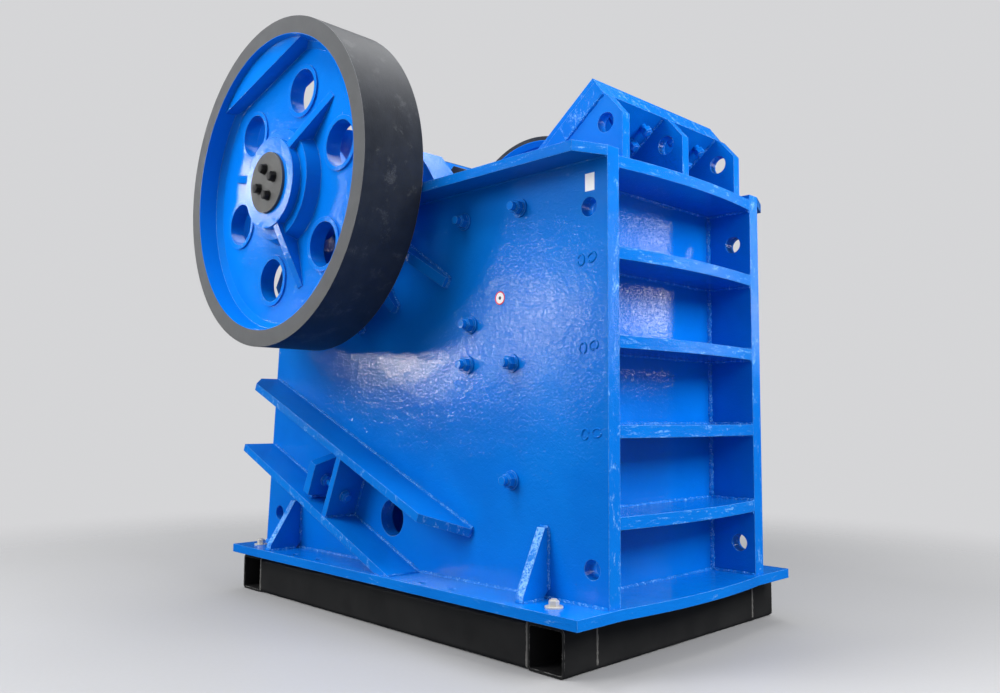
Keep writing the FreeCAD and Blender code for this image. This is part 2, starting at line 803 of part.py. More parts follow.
def swing_jaw():
    """Heavy casting hung on the eccentric, with open pockets in its back."""
    t = S.jaw_thick
    head = as_size(290)
    back_x, back_z = on_slope(as_size(SWING_SEAT_FRONT), as_size(110))
    heel_x, heel_z = on_slope(as_size(SWING_SEAT_FRONT), as_size(-65))
    crest_x, crest_z = jaw_line(jaw_long, t)
    corners = [
        jaw_line(as_size(0), t),
        (crest_x, crest_z),
        (crest_x - 8, crest_z + 70),
        (crest_x - 75, crest_z + 125),
        (crank_x + head * 0.5, crank_z + head * (math.sqrt(3) / 2), head, 1),
        (crank_x - head * 0.8192, crank_z - head * 0.5736),
        (back(1250), up(1050)),
        (back(930), up(320)),
        (back_x, back_z),
        (heel_x, heel_z),
        (back(890), up(42)),
        (back(530), up(42)),
    ]
    body = upright("swing_jaw_casting", corners, -swing_half, swing_half)
    pocket = [(back(740), up(430)), (back(915), up(1120)), (back(1600), up(1120)),
              (back(1600), up(430))]
    web = as_size(30)
    pockets = [upright("pocket_left", pocket, -(swing_half - 60), -web),
               upright("pocket_right", pocket, web, swing_half - 60)]
    bore = rod("swing_bore", crank_r + S.run_fit, -(swing_half + 5), swing_half + 5,
               crank_x, crank_z)
    return cut("swing_jaw", body, fuse("swing_cuts", pockets + [bore]))


def swing_jaw_plate():
    pitch = 2 * jaw_half / TEETH
    corners = [(-S.jaw_thick, -jaw_half), (-S.tooth_deep, -jaw_half)]
    for tooth in range(TEETH):
        low = -jaw_half + tooth * pitch
        corners += [(as_size(0), low + pitch * 0.3), (as_size(0), low + pitch * 0.7),
                    (-S.tooth_deep, low + pitch)]
    corners += [(-S.jaw_thick, jaw_half)]
    body = plate("swing_jaw_plate", "XY", corners, jaw_long)
    x, z = jaw_line(as_size(0), as_size(0))
    return place(body, x=x, z=z, turn=(Vector(0, 1, 0), -S.jaw_lean))


def jaw_wedge():
    """Clamping wedge across the top of the swing jaw plate."""
    crest_x, crest_z = jaw_line(jaw_long, S.jaw_thick)
    face_x, face_z = jaw_line(jaw_long, as_size(0))
    corners = [(crest_x, crest_z), (face_x, face_z), (face_x + 7, face_z + 30),
               (crest_x + 12, crest_z + 84), (crest_x - 8, crest_z + 70)]
    return upright("jaw_wedge", corners, -jaw_half, jaw_half)


keep(swing_jaw(), "swing_jaw")
keep(swing_jaw_plate(), "swing_jaw_plate")
keep(jaw_wedge(), "jaw_wedge")
keep(slope_block("toggle_seat_front", (SWING_SEAT_BACK, SWING_SEAT_FRONT), (-60, 60),
                 toggle_half), "toggle_seat_front")


# ---------------------------------------------------------------- shaft and flywheels

def eccentric_shaft():
    end = wheel_face - 5
    main = rod("main_shaft", S.shaft_r, -end, end, axis_x, axis_z)
    crank = rod("crank", crank_r, -crank_half, crank_half, crank_x, crank_z)
    return fuse("eccentric_shaft", [main, crank])


def turned(name, profile):
    """A piece turned about the shaft, drawn as radius and depth behind the wheel's outer face."""
    body = doc.addObject("PartDesign::Body", name)
    sketch = new_sketch(body, "XY", f"{name}_profile")
    draw_loop(sketch, profile)
    spin = body.newObject("PartDesign::Revolution", f"{name}_spin")
    spin.Profile = sketch
    spin.ReferenceAxis = (sketch, ["V_Axis"])
    spin.Angle = 360
    return place(body, x=axis_x, y=-wheel_face, z=axis_z)


web_front = S.web_set
web_rear = S.web_set + S.web_thick
rim_root = S.wheel_in_r - 8


def wheel_rim():
    """The heavy rim, whose inner wall draws in by 8 mm to where the web meets it."""
    inner = S.wheel_in_r
    return turned("flywheel_rim", [
        (rim_root, web_front - 22), (inner, as_size(0)), (S.wheel_r, as_size(0)),
        (S.wheel_r, S.wheel_wide), (inner, S.wheel_wide), (rim_root, web_rear + 22),
    ])


def wheel_blank():
    """Web and hub in one."""
    hub = S.hub_r
    return turned("wheel_blank", [
        (S.shaft_r, as_size(5)), (hub, as_size(5)), (hub, as_size(42)), (hub + 42, as_size(42)),
        (hub + 62, web_front), (rim_root - 26, web_front), (rim_root, web_front - 22),
        (rim_root, web_rear + 22), (rim_root - 26, web_rear), (hub + 62, web_rear),
        (hub + 20, web_rear + 50), (hub + 20, S.hub_in), (S.shaft_r, S.hub_in),
    ])


def wheel_spot(radius, way):
    """X and Z at a radius and an angle above +X, in degrees, about the shaft."""
    return axis_x + radius * cosine(way), axis_z + radius * sine(way)


WHEEL_HOLES = 6
FIRST_HOLE = 15
HUB_RIBS = (45, 165, 285)


def depth(distance):
    """Y at a depth behind the left flywheel's outer face."""
    return -wheel_face + distance


def hub_rib(number, way):
    """Three-cornered rib from the hub ring down to the web."""
    outline = [(S.shaft_r + 20, depth(S.web_set)), (S.shaft_r + 20, depth(12)),
               (S.hub_r, depth(12)), (as_size(456), depth(S.web_set - 4)),
               (as_size(456), depth(S.web_set + 5)), (S.shaft_r + 20, depth(S.web_set + 5))]
    body = plate(f"hub_rib_{number}", "XY", list(reversed(outline)), as_size(36))
    bind(body.Group[0], "AttachmentOffset.Base.z", -18)
    return place(body, x=axis_x, z=axis_z, turn=(Vector(0, 1, 0), -way))


def counterweight():
    """Circular segment cast inside the rim, opposite the eccentric."""
    flat_at = S.weight_chord
    radius = S.wheel_in_r + 4
    half = root(radius * radius - flat_at * flat_at)
    way = S.weight_way
    ends = [(axis_x + flat_at * cosine(way) + sign * half * sine(way),
             axis_z + flat_at * sine(way) - sign * half * cosine(way)) for sign in (1, -1)]
    corners = [(*ends[0], radius, 1), ends[1]]
    return upright("counterweight", corners, depth(S.weight_set),
                   depth(S.wheel_wide - S.weight_set))


def flywheel(rim):
    """Everything inside the rim: web, hub, ribs, hole rings and counterweight."""
    parts = [wheel_blank(), counterweight()]
    parts += [hub_rib(number, way) for number, way in enumerate(HUB_RIBS, 1)]
    holes = [rim]
    for index in range(WHEEL_HOLES):
        way = as_size(FIRST_HOLE + index * 360 / WHEEL_HOLES)
        x, z = wheel_spot(S.wheel_hole_at, way)
        parts.append(rod(f"hole_ring_{index}", S.wheel_hole_r + 18, depth(S.web_set - 8),
                         depth(S.web_set + S.web_thick + 8), x, z))
        holes.append(rod(f"wheel_hole_{index}", S.wheel_hole_r, depth(S.web_set - 30),
                         depth(S.web_set + S.web_thick + 30), x, z))
    holes.append(rod("wheel_bore", S.shaft_r, depth(-5), depth(S.wheel_wide + 20), axis_x,
                     axis_z))
    return cut("flywheel", fuse("wheel_solid", parts), fuse("wheel_cuts", holes))


GROOVES = 6
PULLEY_HOLES = 6
pulley_root = S.pulley_r - 2 * S.pulley_lip


def pulley_rim():
    """The driven rim on the right-hand shaft end, with its grooves for wedge belts."""
    edge = S.pulley_r - S.pulley_lip
    profile = [(pulley_root, S.pulley_lip), (edge, as_size(0)), (S.pulley_r, as_size(0))]
    first = (S.pulley_wide - (GROOVES - 1) * S.groove_pitch) / 2
    for number in range(GROOVES):
        middle = first + number * S.groove_pitch
        profile += [(S.pulley_r, middle - S.groove_wide / 2),
                    (S.pulley_r - S.groove_deep, middle - S.groove_root / 2),
                    (S.pulley_r - S.groove_deep, middle + S.groove_root / 2),
                    (S.pulley_r, middle + S.groove_wide / 2)]
    profile += [(S.pulley_r, S.pulley_wide), (edge, S.pulley_wide),
                (pulley_root, S.pulley_wide - S.pulley_lip)]
    return turned("pulley_rim_blank", profile)


def pulley():
    """The pulley's web and hub, pierced by six round holes."""
    hub = S.hub_r
    front = (S.pulley_wide - S.pulley_web) / 2
    rear = front + S.pulley_web
    blank = turned("pulley_blank", [
        (S.shaft_r, as_size(5)), (hub, as_size(5)), (hub, front - 44), (hub + 44, front),
        (pulley_root, front), (pulley_root, rear), (hub + 56, rear), (hub + 20, rear + 36),
        (hub + 20, S.hub_in), (S.shaft_r, S.hub_in),
    ])
    holes = []
    for index in range(PULLEY_HOLES):
        x, z = wheel_spot(S.pulley_hole_at, as_size(FIRST_HOLE + index * 360 / PULLEY_HOLES))
        holes.append(rod(f"pulley_hole_{index}", S.pulley_hole_r, depth(front - 10),
                         depth(rear + 10), x, z))
    return cut("pulley_left", blank, fuse("pulley_cuts", holes))


def end_cover():
    return rod("end_cover_left", S.cover_r, depth(-S.cover_proud), depth(5), axis_x, axis_z)


keep(eccentric_shaft(), "eccentric_shaft")
rim = wheel_rim()
keep(rim, "flywheel_rim")
keep(flywheel(rim), "flywheel")
keep(mirror("pulley_rim", pulley_rim()), "pulley_rim")
keep(mirror("pulley", pulley()), "pulley")
pair("end_cover", end_cover())


# ---------------------------------------------------------------- check and write

doc.recompute()

for item in doc.Objects:
    states = set(item.State) & {"Invalid", "Error"}
    if states:
        raise SystemExit(f"{item.Name} ({item.Label}) is {sorted(states)}")

os.makedirs("parts", exist_ok=True)
for node in NODES:
    shape = node.Shape
    if shape.isNull() or not shape.isValid() or not shape.Solids:
        raise SystemExit(f"{node.Label} has no valid solid")
for node in NODES:
    node.Shape.exportStep(f"parts/{node.Label}.step")
print(f"wrote {len(NODES)} sub-parts")
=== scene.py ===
# %% [markdown]
# # A jaw crusher in blue enamel
#
# The crusher is welded from heavy plate, painted cobalt blue and bolted to a black skid. Belts on
# a grooved pulley turn the eccentric shaft, a flywheel on its other end keeps it going, and the
# shaft swings one jaw against the other.
#
# The shapes come ready-made from CAD as the frame. This script gives them their finishes and adds
# what a welder and a fitter would: weld beads, nuts, washers and bolts. It then lights the
# machine.

# %% Load the frame
import math

import bpy
from mathutils import Matrix, Vector


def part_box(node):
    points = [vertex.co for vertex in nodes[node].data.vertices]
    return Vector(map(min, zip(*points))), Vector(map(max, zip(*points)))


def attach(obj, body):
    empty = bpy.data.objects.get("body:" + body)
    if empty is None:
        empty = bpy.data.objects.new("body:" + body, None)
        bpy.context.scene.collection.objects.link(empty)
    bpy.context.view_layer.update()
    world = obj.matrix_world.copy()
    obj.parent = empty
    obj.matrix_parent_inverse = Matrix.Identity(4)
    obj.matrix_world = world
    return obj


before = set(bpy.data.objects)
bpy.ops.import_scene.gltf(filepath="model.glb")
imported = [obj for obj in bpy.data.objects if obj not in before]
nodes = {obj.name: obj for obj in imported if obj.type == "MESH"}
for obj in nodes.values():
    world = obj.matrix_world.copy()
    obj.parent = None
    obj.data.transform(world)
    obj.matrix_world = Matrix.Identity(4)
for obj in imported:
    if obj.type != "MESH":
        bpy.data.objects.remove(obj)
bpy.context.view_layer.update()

# %% [markdown]
# ## Where things are
#
# Every place is counted as a fitter would: a distance behind the side plates' front edge, a height
# above the base plate, and a distance out from the middle. These three numbers are read from the
# CAD pieces, so the added pieces stay on the plates if the plates change.

# %% Measure the plates
front_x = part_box("side_plate_left")[1].x
base_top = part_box("base_plate")[1].z
side_out = -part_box("side_plate_left")[0].y
side_in = -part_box("side_plate_left")[1].y
side_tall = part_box("top_flange_left")[1].z - base_top
rim_low, rim_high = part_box("flywheel_rim")
wheel_face = -rim_low.y
wheel_r = (rim_high.z - rim_low.z) / 2
axis = Vector(((rim_low.x + rim_high.x) / 2, 0, (rim_low.z + rim_high.z) / 2))


def spot(back, up, out=0.0):
    """A place behind the front edge, above the base plate and out from the middle."""
    return Vector((front_x - back, out, base_top + up))


print(f"side plates {2 * side_out:.3f} m over their faces, flywheel {2 * wheel_r:.2f} m across")

# %% [markdown]
# ## One helper for nodes
#
# Shaders and Geometry Nodes are both trees of nodes. Clicking them together by hand is fine for
# one material, but here many finishes share parts. `put` adds any node, first its settings and
# then the values or links of its sockets, so that a whole tree reads from top to bottom.

# %% Add a node
def put(tree, kind, settings=None, sockets=None):
    node = tree.nodes.new(kind)
    for name, value in (settings or {}).items():
        if name == "stops":
            ramp = node.color_ramp
            while len(ramp.elements) < len(value):
                ramp.elements.new(0.5)
            for element, (place, colour) in zip(ramp.elements, value):
                element.position = place
                element.color = (*colour, 1)
        else:
            setattr(node, name, value)
    for key, value in (sockets or {}).items():
        if isinstance(value, Value):
            value = value.socket
        if isinstance(value, bpy.types.NodeSocket):
            tree.links.new(value, node.inputs[key])
        else:
            node.inputs[key].default_value = value
    return node


# %% [markdown]
# ## Shader sums written as sums
#
# A scratch or a patch of wear is a little arithmetic on noise. `Value` wraps a socket, so `1 -
# mask` or `noise * 0.3` adds the Math node that does it. Python still works out sums of plain
# numbers.

# %% Wrap a socket
class Value:
    def __init__(self, tree, socket):
        self.tree = tree
        self.socket = socket

    def math(self, operation, first, second=0.0):
        node = put(self.tree, "ShaderNodeMath", {"operation": operation}, {0: first, 1: second})
        return Value(self.tree, node.outputs[0])

    def __add__(self, other):
        return self.math("ADD", self, other)

    def __sub__(self, other):
        return self.math("SUBTRACT", self, other)

    def __mul__(self, other):
        return self.math("MULTIPLY", self, other)

    def __rsub__(self, other):
        return self.math("SUBTRACT", other, self)

    def __abs__(self):
        return self.math("ABSOLUTE", self)

    def root(self):
        return self.math("SQRT", self)

    __radd__ = __add__
    __rmul__ = __mul__

    def above(self, low, high):
        """0 below low, 1 above high, and a smooth rise between."""
        node = put(self.tree, "ShaderNodeMapRange",
                   {"interpolation_type": "SMOOTHSTEP"},
                   {"Value": self, "From Min": low, "From Max": high})
        return Value(self.tree, node.outputs[0])


# %% [markdown]
# ## A finish and its usual parts
#
# `Finish` holds one material while it is written. Patterns read Object coordinates, which are
# metres on this machine, so a noise scale of 100 gives spots about 10 mm across whatever the
# piece's size.

# %% Start a finish
class Finish:
    def __init__(self, name):
        self.material = bpy.data.materials.new(name)
        self.material.use_nodes = True
        self.tree = self.material.node_tree
        self.tree.nodes.clear()
        self.coords = self.put("ShaderNodeTexCoord")

    def put(self, kind, settings=None, sockets=None):
        return put(self.tree, kind, settings, sockets)

    def value(self, socket):
        return Value(self.tree, socket)

    def noise(self, scale, detail=3.0, rough=0.55, stretch=(1, 1, 1), distort=0.0):
        """Cloudy noise from 0 to 1, with so many spots to the metre."""
        place = self.put("ShaderNodeMapping", None,
                         {"Vector": self.coords.outputs["Object"], "Scale": stretch})
        node = self.put("ShaderNodeTexNoise", None,
                        {"Vector": place.outputs[0], "Scale": scale, "Detail": detail,
                         "Roughness": rough, "Distortion": distort})
        return self.value(node.outputs[0])

    def along(self, direction):
        """How far the surface's normal points in a direction, from -1 to 1."""
        node = self.put("ShaderNodeVectorMath", {"operation": "DOT_PRODUCT"},
                        {0: self.coords.outputs["Normal"], 1: direction})
        return self.value(node.outputs["Value"])

    def mix(self, factor, first, second):
        """A colour between two colours. Colours are linear red, green and blue."""
        first, second = ((*c, 1) if isinstance(c, tuple) else c for c in (first, second))
        node = self.put("ShaderNodeMix", {"data_type": "RGBA"}, {0: factor, 6: first, 7: second})
        return node.outputs[2]

    def rounded(self, radius):
        """The normal as it would be with every edge rounded, and how strongly it is rounded."""
        bevel = self.put("ShaderNodeBevel", {"samples": 6}, {"Radius": radius})
        sharp = self.put("ShaderNodeNewGeometry")
        turn = self.put("ShaderNodeVectorMath", {"operation": "DOT_PRODUCT"},
                        {0: bevel.outputs[0], 1: sharp.outputs["Normal"]})
        return bevel.outputs[0], 1 - self.value(turn.outputs["Value"])

    def finish(self, colour, rough, height=None, depth=0.001, normal=None, **fixed):
        """Closes the material: height from 0 to 1 becomes metres of depth in a Bump node."""
        sockets = {"Base Color": (*colour, 1) if isinstance(colour, tuple) else colour,
                   "Roughness": rough}
        sockets.update({name.replace("_", " "): value for name, value in fixed.items()})
        if height is not None:
            bump = {"Height": height, "Distance": depth, "Strength": 1.0}
            if normal is not None:
                bump["Normal"] = normal
            normal = self.put("ShaderNodeBump", None, bump).outputs[0]
        if normal is not None:
            sockets["Normal"] = normal
        shader = self.put("ShaderNodeBsdfPrincipled", None, sockets)
        self.put("ShaderNodeOutputMaterial", None, {"Surface": shader.outputs[0]})
        return self.material


# %% [markdown]
# ## Blue enamel
#
# The paint is a thick gloss enamel over rough plate. It looks smooth from afar, but its
# reflections break into ripples about 15 mm across. So the bump carries a slow swell, a distorted
# ripple and a fine orange peel, added as heights. The gloss comes from the base layer,
# because a coat layer would keep a flat normal of its own and reflect the lights as clean shapes.
#
# Plates are cut by torch, and their cut edges take the paint badly: they look lighter, streaky and
# scuffed. A plate's cut edges are the faces that do not look along its thickness. So each plate
# passes in the direction of its thickness, and the shader finds the edges from the normal. The
# streaks run up and down on an upright edge and along a level one.

# %% Mix the enamel
BLUE = (0.0012, 0.172, 0.665)
DEEP_BLUE = (0.0008, 0.145, 0.600)
PALE_BLUE = (0.260, 0.560, 0.920)
UPRIGHT_STREAKS = (1, 1, 0.55)
LEVEL_STREAKS = (0.4, 0.4, 2.0)
EVEN_SCUFFS, FEW_SCUFFS, HEAVY_SCUFFS = 0.42, 0.22, 0.95


def enamel(name, thickness=None, scuffs=EVEN_SCUFFS, stretch=UPRIGHT_STREAKS):
    """Blue paint. Scuffs is how much of a cut edge is scuffed, from 0 to 1."""
    f = Finish(name)
    clouds = f.noise(2.2, 4)
    swell = f.noise(9, 2)
    ripple = f.noise(58, 2, 0.5, (1, 1, 1.25), 1.4)
    peel = f.noise(160, 3, 0.7)
    dust = f.noise(420, 2, 0.7)
    normal, edge = f.rounded(0.003)
    colour = f.mix(clouds.above(0.35, 0.68), DEEP_BLUE, BLUE)
    chips = f.noise(95, 5, 0.7).above(0.40, 0.58)
    # Every rounded edge gets a faint pale blue line, which is a painted highlight. Chips of wear
    # and the cut-edge scuffs are added to it.
    wear_and_edge_highlight = edge.above(0.02, 0.20) * (0.16 + chips * 0.5)
    height = swell * 1.1 + ripple * 0.55 + peel * 0.12
    rough = 0.06 + clouds * 0.05 + dust * 0.03
    if thickness is not None:
        cut = 1 - abs(f.along(thickness)).above(0.3, 0.6)
        streaks = f.noise(30, 6, 0.72, stretch, 0.4)
        flecks = f.noise(130, 4, 0.75)
        start = 0.66 - scuffs * 0.3
        scuff = streaks.above(start, start + 0.14) * flecks.above(0.42, 0.56) * cut
        wear_and_edge_highlight = wear_and_edge_highlight + scuff * 0.70
        height = height + streaks * cut * 1.2
        rough = rough + scuff * 0.10
    colour = f.mix(wear_and_edge_highlight, colour, PALE_BLUE)
    return f.finish(colour, rough, height, 0.0017, normal, Specular_IOR_Level=0.60)


enamel_plain = enamel("blue_enamel")
enamel_across = enamel("blue_enamel_plate_y", (0, 1, 0))
enamel_level = enamel("blue_enamel_plate_z", (0, 0, 1), EVEN_SCUFFS, LEVEL_STREAKS)
enamel_base = enamel("blue_enamel_base", (0, 0, 1), FEW_SCUFFS, LEVEL_STREAKS)
enamel_facing = enamel("blue_enamel_plate_x", (1, 0, 0), HEAVY_SCUFFS)
print("five blue enamels")

# %% [markdown]
# ## Weld and casting finishes
#
# Weld beads carry the same paint, and its gloss catches the light on every ripple. Pale specks in
# patches on them are painted glints. The flywheel's rim is turned cast iron: nearly black on its
# tread, a finer grey on its face, and enamelled on its inner wall, where the brush ran over onto
# the edge in places. A pale grey line along the rims' rounded edges is a painted highlight. The
# pulley's rim is black on its face too.

# %% Mix the weld paint and the rim
def weld_paint():
    f = Finish("blue_weld_bead")
    specks = f.noise(210, 3, 0.7)
    glint_patches = f.noise(38, 3)
    # Pale specks in patches on the bead are painted glints.
    colour = f.mix(specks.above(0.50, 0.66) * glint_patches.above(0.36, 0.6), (0.0015, 0.165, 0.65),
                   (0.24, 0.58, 0.94))
    return f.finish(colour, 0.10 + specks * 0.10, specks, 0.0024, Specular_IOR_Level=0.9)


def rim_iron(name, wall, lathed=1.0):
    """Iron outside the radius of the rim's inner wall, and enamel inside it.

    A lathed face is grey at 1 and black like the tread at 0.
    """
    f = Finish(name)
    place = f.put("ShaderNodeSeparateXYZ", None, {0: f.coords.outputs["Object"]})
    across = f.value(place.outputs[0]) - axis.x
    upward = f.value(place.outputs[2]) - axis.z
    radius = (across * across + upward * upward).root()
    face = abs(f.along((0, 1, 0))).above(0.6, 0.8) * lathed
    grain = f.noise(16, 5, 0.6)
    fine = f.noise(320, 3, 0.7)
    turning = f.noise(60, 3, 0.6, (0.25, 6, 0.25))
    normal, edge = f.rounded(0.003)
    tread = f.mix(grain, (0.009, 0.011, 0.015), (0.028, 0.032, 0.040))
    rubbed = f.noise(11, 6, 0.75).above(0.56, 0.66) * fine.above(0.4, 0.6)
    tread = f.mix(rubbed * 0.5, tread, (0.10, 0.105, 0.11))
    lathe = f.mix(grain * 0.6 + fine * 0.4, (0.060, 0.062, 0.064), (0.112, 0.115, 0.120))
    iron = f.mix(face, tread, lathe)
    # A pale grey line along the rounded edges is a painted highlight.
    iron = f.mix(edge.above(0.02, 0.20) * (0.35 + grain * 0.7), iron, (0.42, 0.43, 0.45))
    inner = wall + f.noise(20, 3) * 0.001
    painted = 1 - (radius - inner).above(0.0, 0.0012)
    colour = f.mix(painted, iron, BLUE)
    rough = (0.42 + fine * 0.16 + face * 0.05) * (1 - painted) + painted * 0.2
    return f.finish(colour, rough, grain * 0.5 + turning * 0.35 + fine * 0.15, 0.0012, normal,
                    Specular_IOR_Level=0.45)


weld_blue = weld_paint()

# %% [markdown]
# ## Skid, bare steel and small finishes
#
# The skid is matt black over mill scale, pale grey in patches along its edges. Jaw plates are
# manganese
# steel as cast: brown grey and rough. Fasteners at the feet are zinc plated, and the end covers are
# oiled dark steel.

# %% Mix the other finishes
def black_paint():
    f = Finish("skid_black_paint")
    mottle = f.noise(9, 5, 0.6)
    grit = f.noise(240, 3, 0.7)
    normal, edge = f.rounded(0.004)
    colour = f.mix(mottle, (0.0085, 0.0085, 0.0090), (0.024, 0.024, 0.024))
    # Edges turn pale grey in patches.
    pale_edge_patches = edge.above(0.02, 0.2) * f.noise(38, 5, 0.75).above(0.46, 0.58)
    colour = f.mix(pale_edge_patches * 0.7, colour, (0.42, 0.41, 0.39))
    return f.finish(colour, 0.44 + mottle * 0.18, mottle * 0.5 + grit * 0.25, 0.0012, normal)


def bare(name, dark, light, rough, metallic, coarse=40, depth=0.0008):
    """Metal between two tones. Coarse is the grain's spots to the metre, depth its relief."""
    f = Finish(name)
    cloud = f.noise(coarse / 6, 5, 0.6)
    grain = f.noise(coarse, 4, 0.65)
    fine = f.noise(380, 3, 0.7)
    normal, edge = f.rounded(0.002)
    colour = f.mix(cloud * 0.6 + fine * 0.4, dark, light)
    bright = tuple(min(1, c * 1.7) for c in light)
    colour = f.mix(edge.above(0.04, 0.3) * grain * 0.6, colour, bright)
    return f.finish(colour, rough + grain * 0.18, grain, depth, normal, Metallic=metallic)


black = black_paint()
cover_steel = bare("oiled_cover_steel", (0.085, 0.086, 0.085), (0.150, 0.150, 0.146), 0.42, 0.35)
bolt_black = bare("black_oxide_bolt", (0.012, 0.012, 0.013), (0.035, 0.035, 0.036), 0.34, 0.4)
jaw_steel = bare("manganese_jaw_steel", (0.10, 0.080, 0.064), (0.25, 0.215, 0.185), 0.55, 0.55,
                 60, 0.002)
shaft_steel = bare("machined_shaft_steel", (0.26, 0.26, 0.265), (0.45, 0.45, 0.455), 0.26, 0.9)
zinc = bare("zinc_plate", (0.50, 0.47, 0.40), (0.74, 0.71, 0.64), 0.30, 0.30)
spattered = bare("spattered_black_weld", (0.020, 0.020, 0.021), (0.34, 0.33, 0.31), 0.36, 0.2,
                 150, 0.002)
print("finishes for skid, jaws, shaft and fasteners")


# %% [markdown]
# ## Shims
#
# Packing strips lie between skid and base. They were painted with whatever the gun caught, so they
# are black in some places, blue in others, with a bare line of steel.

# %% Mix the shim finish
def shim_finish():
    f = Finish("part_painted_shim")
    patch = f.noise(2.6, 3, 0.6, (1, 0.4, 1))
    grit = f.noise(160, 3, 0.7)
    colour = f.mix(patch.above(0.47, 0.50), (0.010, 0.010, 0.011), (0.30, 0.27, 0.23))
    colour = f.mix(patch.above(0.515, 0.53), colour, BLUE)
    return f.finish(colour, 0.34 + grit * 0.2, grit, 0.0008)


shim_paint = shim_finish()

# %% [markdown]
# ## Hand the finishes out
#
# A CAD piece keeps its mesh, and only its material slots change. The lists follow how each plate
# stands.

# %% Dress the CAD pieces
def dress(material, *names):
    for name in names:
        slots = nodes[name].material_slots
        if not slots:
            nodes[name].data.materials.append(material)
        for slot in nodes[name].material_slots:
            slot.material = material


def both(name):
    return [f"{name}_left", f"{name}_right"]


lean = math.radians(22.7)
hood_lean = math.radians(37.24)
FLYWHEEL_WALL = 0.6145
PULLEY_WALL = 0.5315
slope_plate = enamel("blue_enamel_sloping_plate", (math.sin(lean), 0, math.cos(lean)))
hood_board = enamel("blue_enamel_hood", (math.sin(hood_lean), 0, -math.cos(hood_lean)))

dress(enamel_plain, *nodes)
dress(enamel_across, *both("side_plate"), "hood_lug_1", "hood_lug_2", "hood_lug_3")
dress(enamel_base, "base_plate")
dress(enamel_level, "front_rib_1", "front_rib_2", "front_rib_3", "front_rib_4",
      "front_top_plate", "rear_ribs", *both("top_flange"))
dress(enamel_facing, "front_wall", "rear_wall", *both("foot_gussets"))
dress(slope_plate, *both("upper_stay"), *both("lower_stay"))
dress(hood_board, "hood_plate", "hood_liner")
dress(rim_iron("turned_flywheel_rim", FLYWHEEL_WALL), "flywheel_rim")
dress(rim_iron("black_pulley_rim", PULLEY_WALL, 0.1), "pulley_rim")
dress(black, "skid_front_tube", "skid_rear_tube", *both("skid_side_beam"))
dress(cover_steel, *both("end_cover"))
dress(jaw_steel, "fixed_jaw_plate", "swing_jaw_plate", "jaw_wedge", *both("cheek_plates"))
dress(shaft_steel, "eccentric_shaft", "toggle_plate", "toggle_seat_rear", "toggle_seat_front")
dress(shim_paint, "shims")
print(f"{len(nodes)} CAD pieces dressed")

# %% [markdown]
# ## Growing pieces with Geometry Nodes
#
# Bolts and weld beads repeat dozens of times, which is what Geometry Nodes are for. `new_tree`
# makes a tree with named inputs. `grow` runs it once on a small mesh and keeps the result as a
# plain mesh, so that nothing live is left on the piece.

# %% Build and run a tree
def new_tree(name, inputs):
    tree = bpy.data.node_groups.new(name, "GeometryNodeTree")
    face = tree.interface
    face.new_socket("Geometry", in_out="INPUT", socket_type="NodeSocketGeometry")
    for label, kind in inputs.items():
        face.new_socket(label, in_out="INPUT", socket_type=f"NodeSocket{kind}")
    face.new_socket("Geometry", in_out="OUTPUT", socket_type="NodeSocketGeometry")
    source = tree.nodes.new("NodeGroupInput")
    return tree, source.outputs


def grow(name, mesh, tree, values, body):
    piece = bpy.data.objects.new(name, mesh)
    bpy.context.scene.collection.objects.link(piece)
    modifier = piece.modifiers.new("Grow", "NODES")
    modifier.node_group = tree
    for item in tree.interface.items_tree:
        if item.in_out == "INPUT" and item.name in values:
            modifier[item.identifier] = values[item.name]
    graph = bpy.context.evaluated_depsgraph_get()
    plain = bpy.data.meshes.new_from_object(piece.evaluated_get(graph), depsgraph=graph)
    piece.modifiers.clear()
    piece.data = plain
    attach(piece, body)
    triangles = sum(len(p.vertices) - 2 for p in plain.polygons)
    print(f"{name}: {triangles} triangles")
    return piece


# %% [markdown]
# ## Bolts, nuts and washers
#
# One tree makes a round washer, a six-sided head with its corners turned off, and a round stud
# end. It stands them on every point, aimed along the point's own direction and turned by a random
# angle, as a spanner leaves them. Each input is a size of the real fastener.

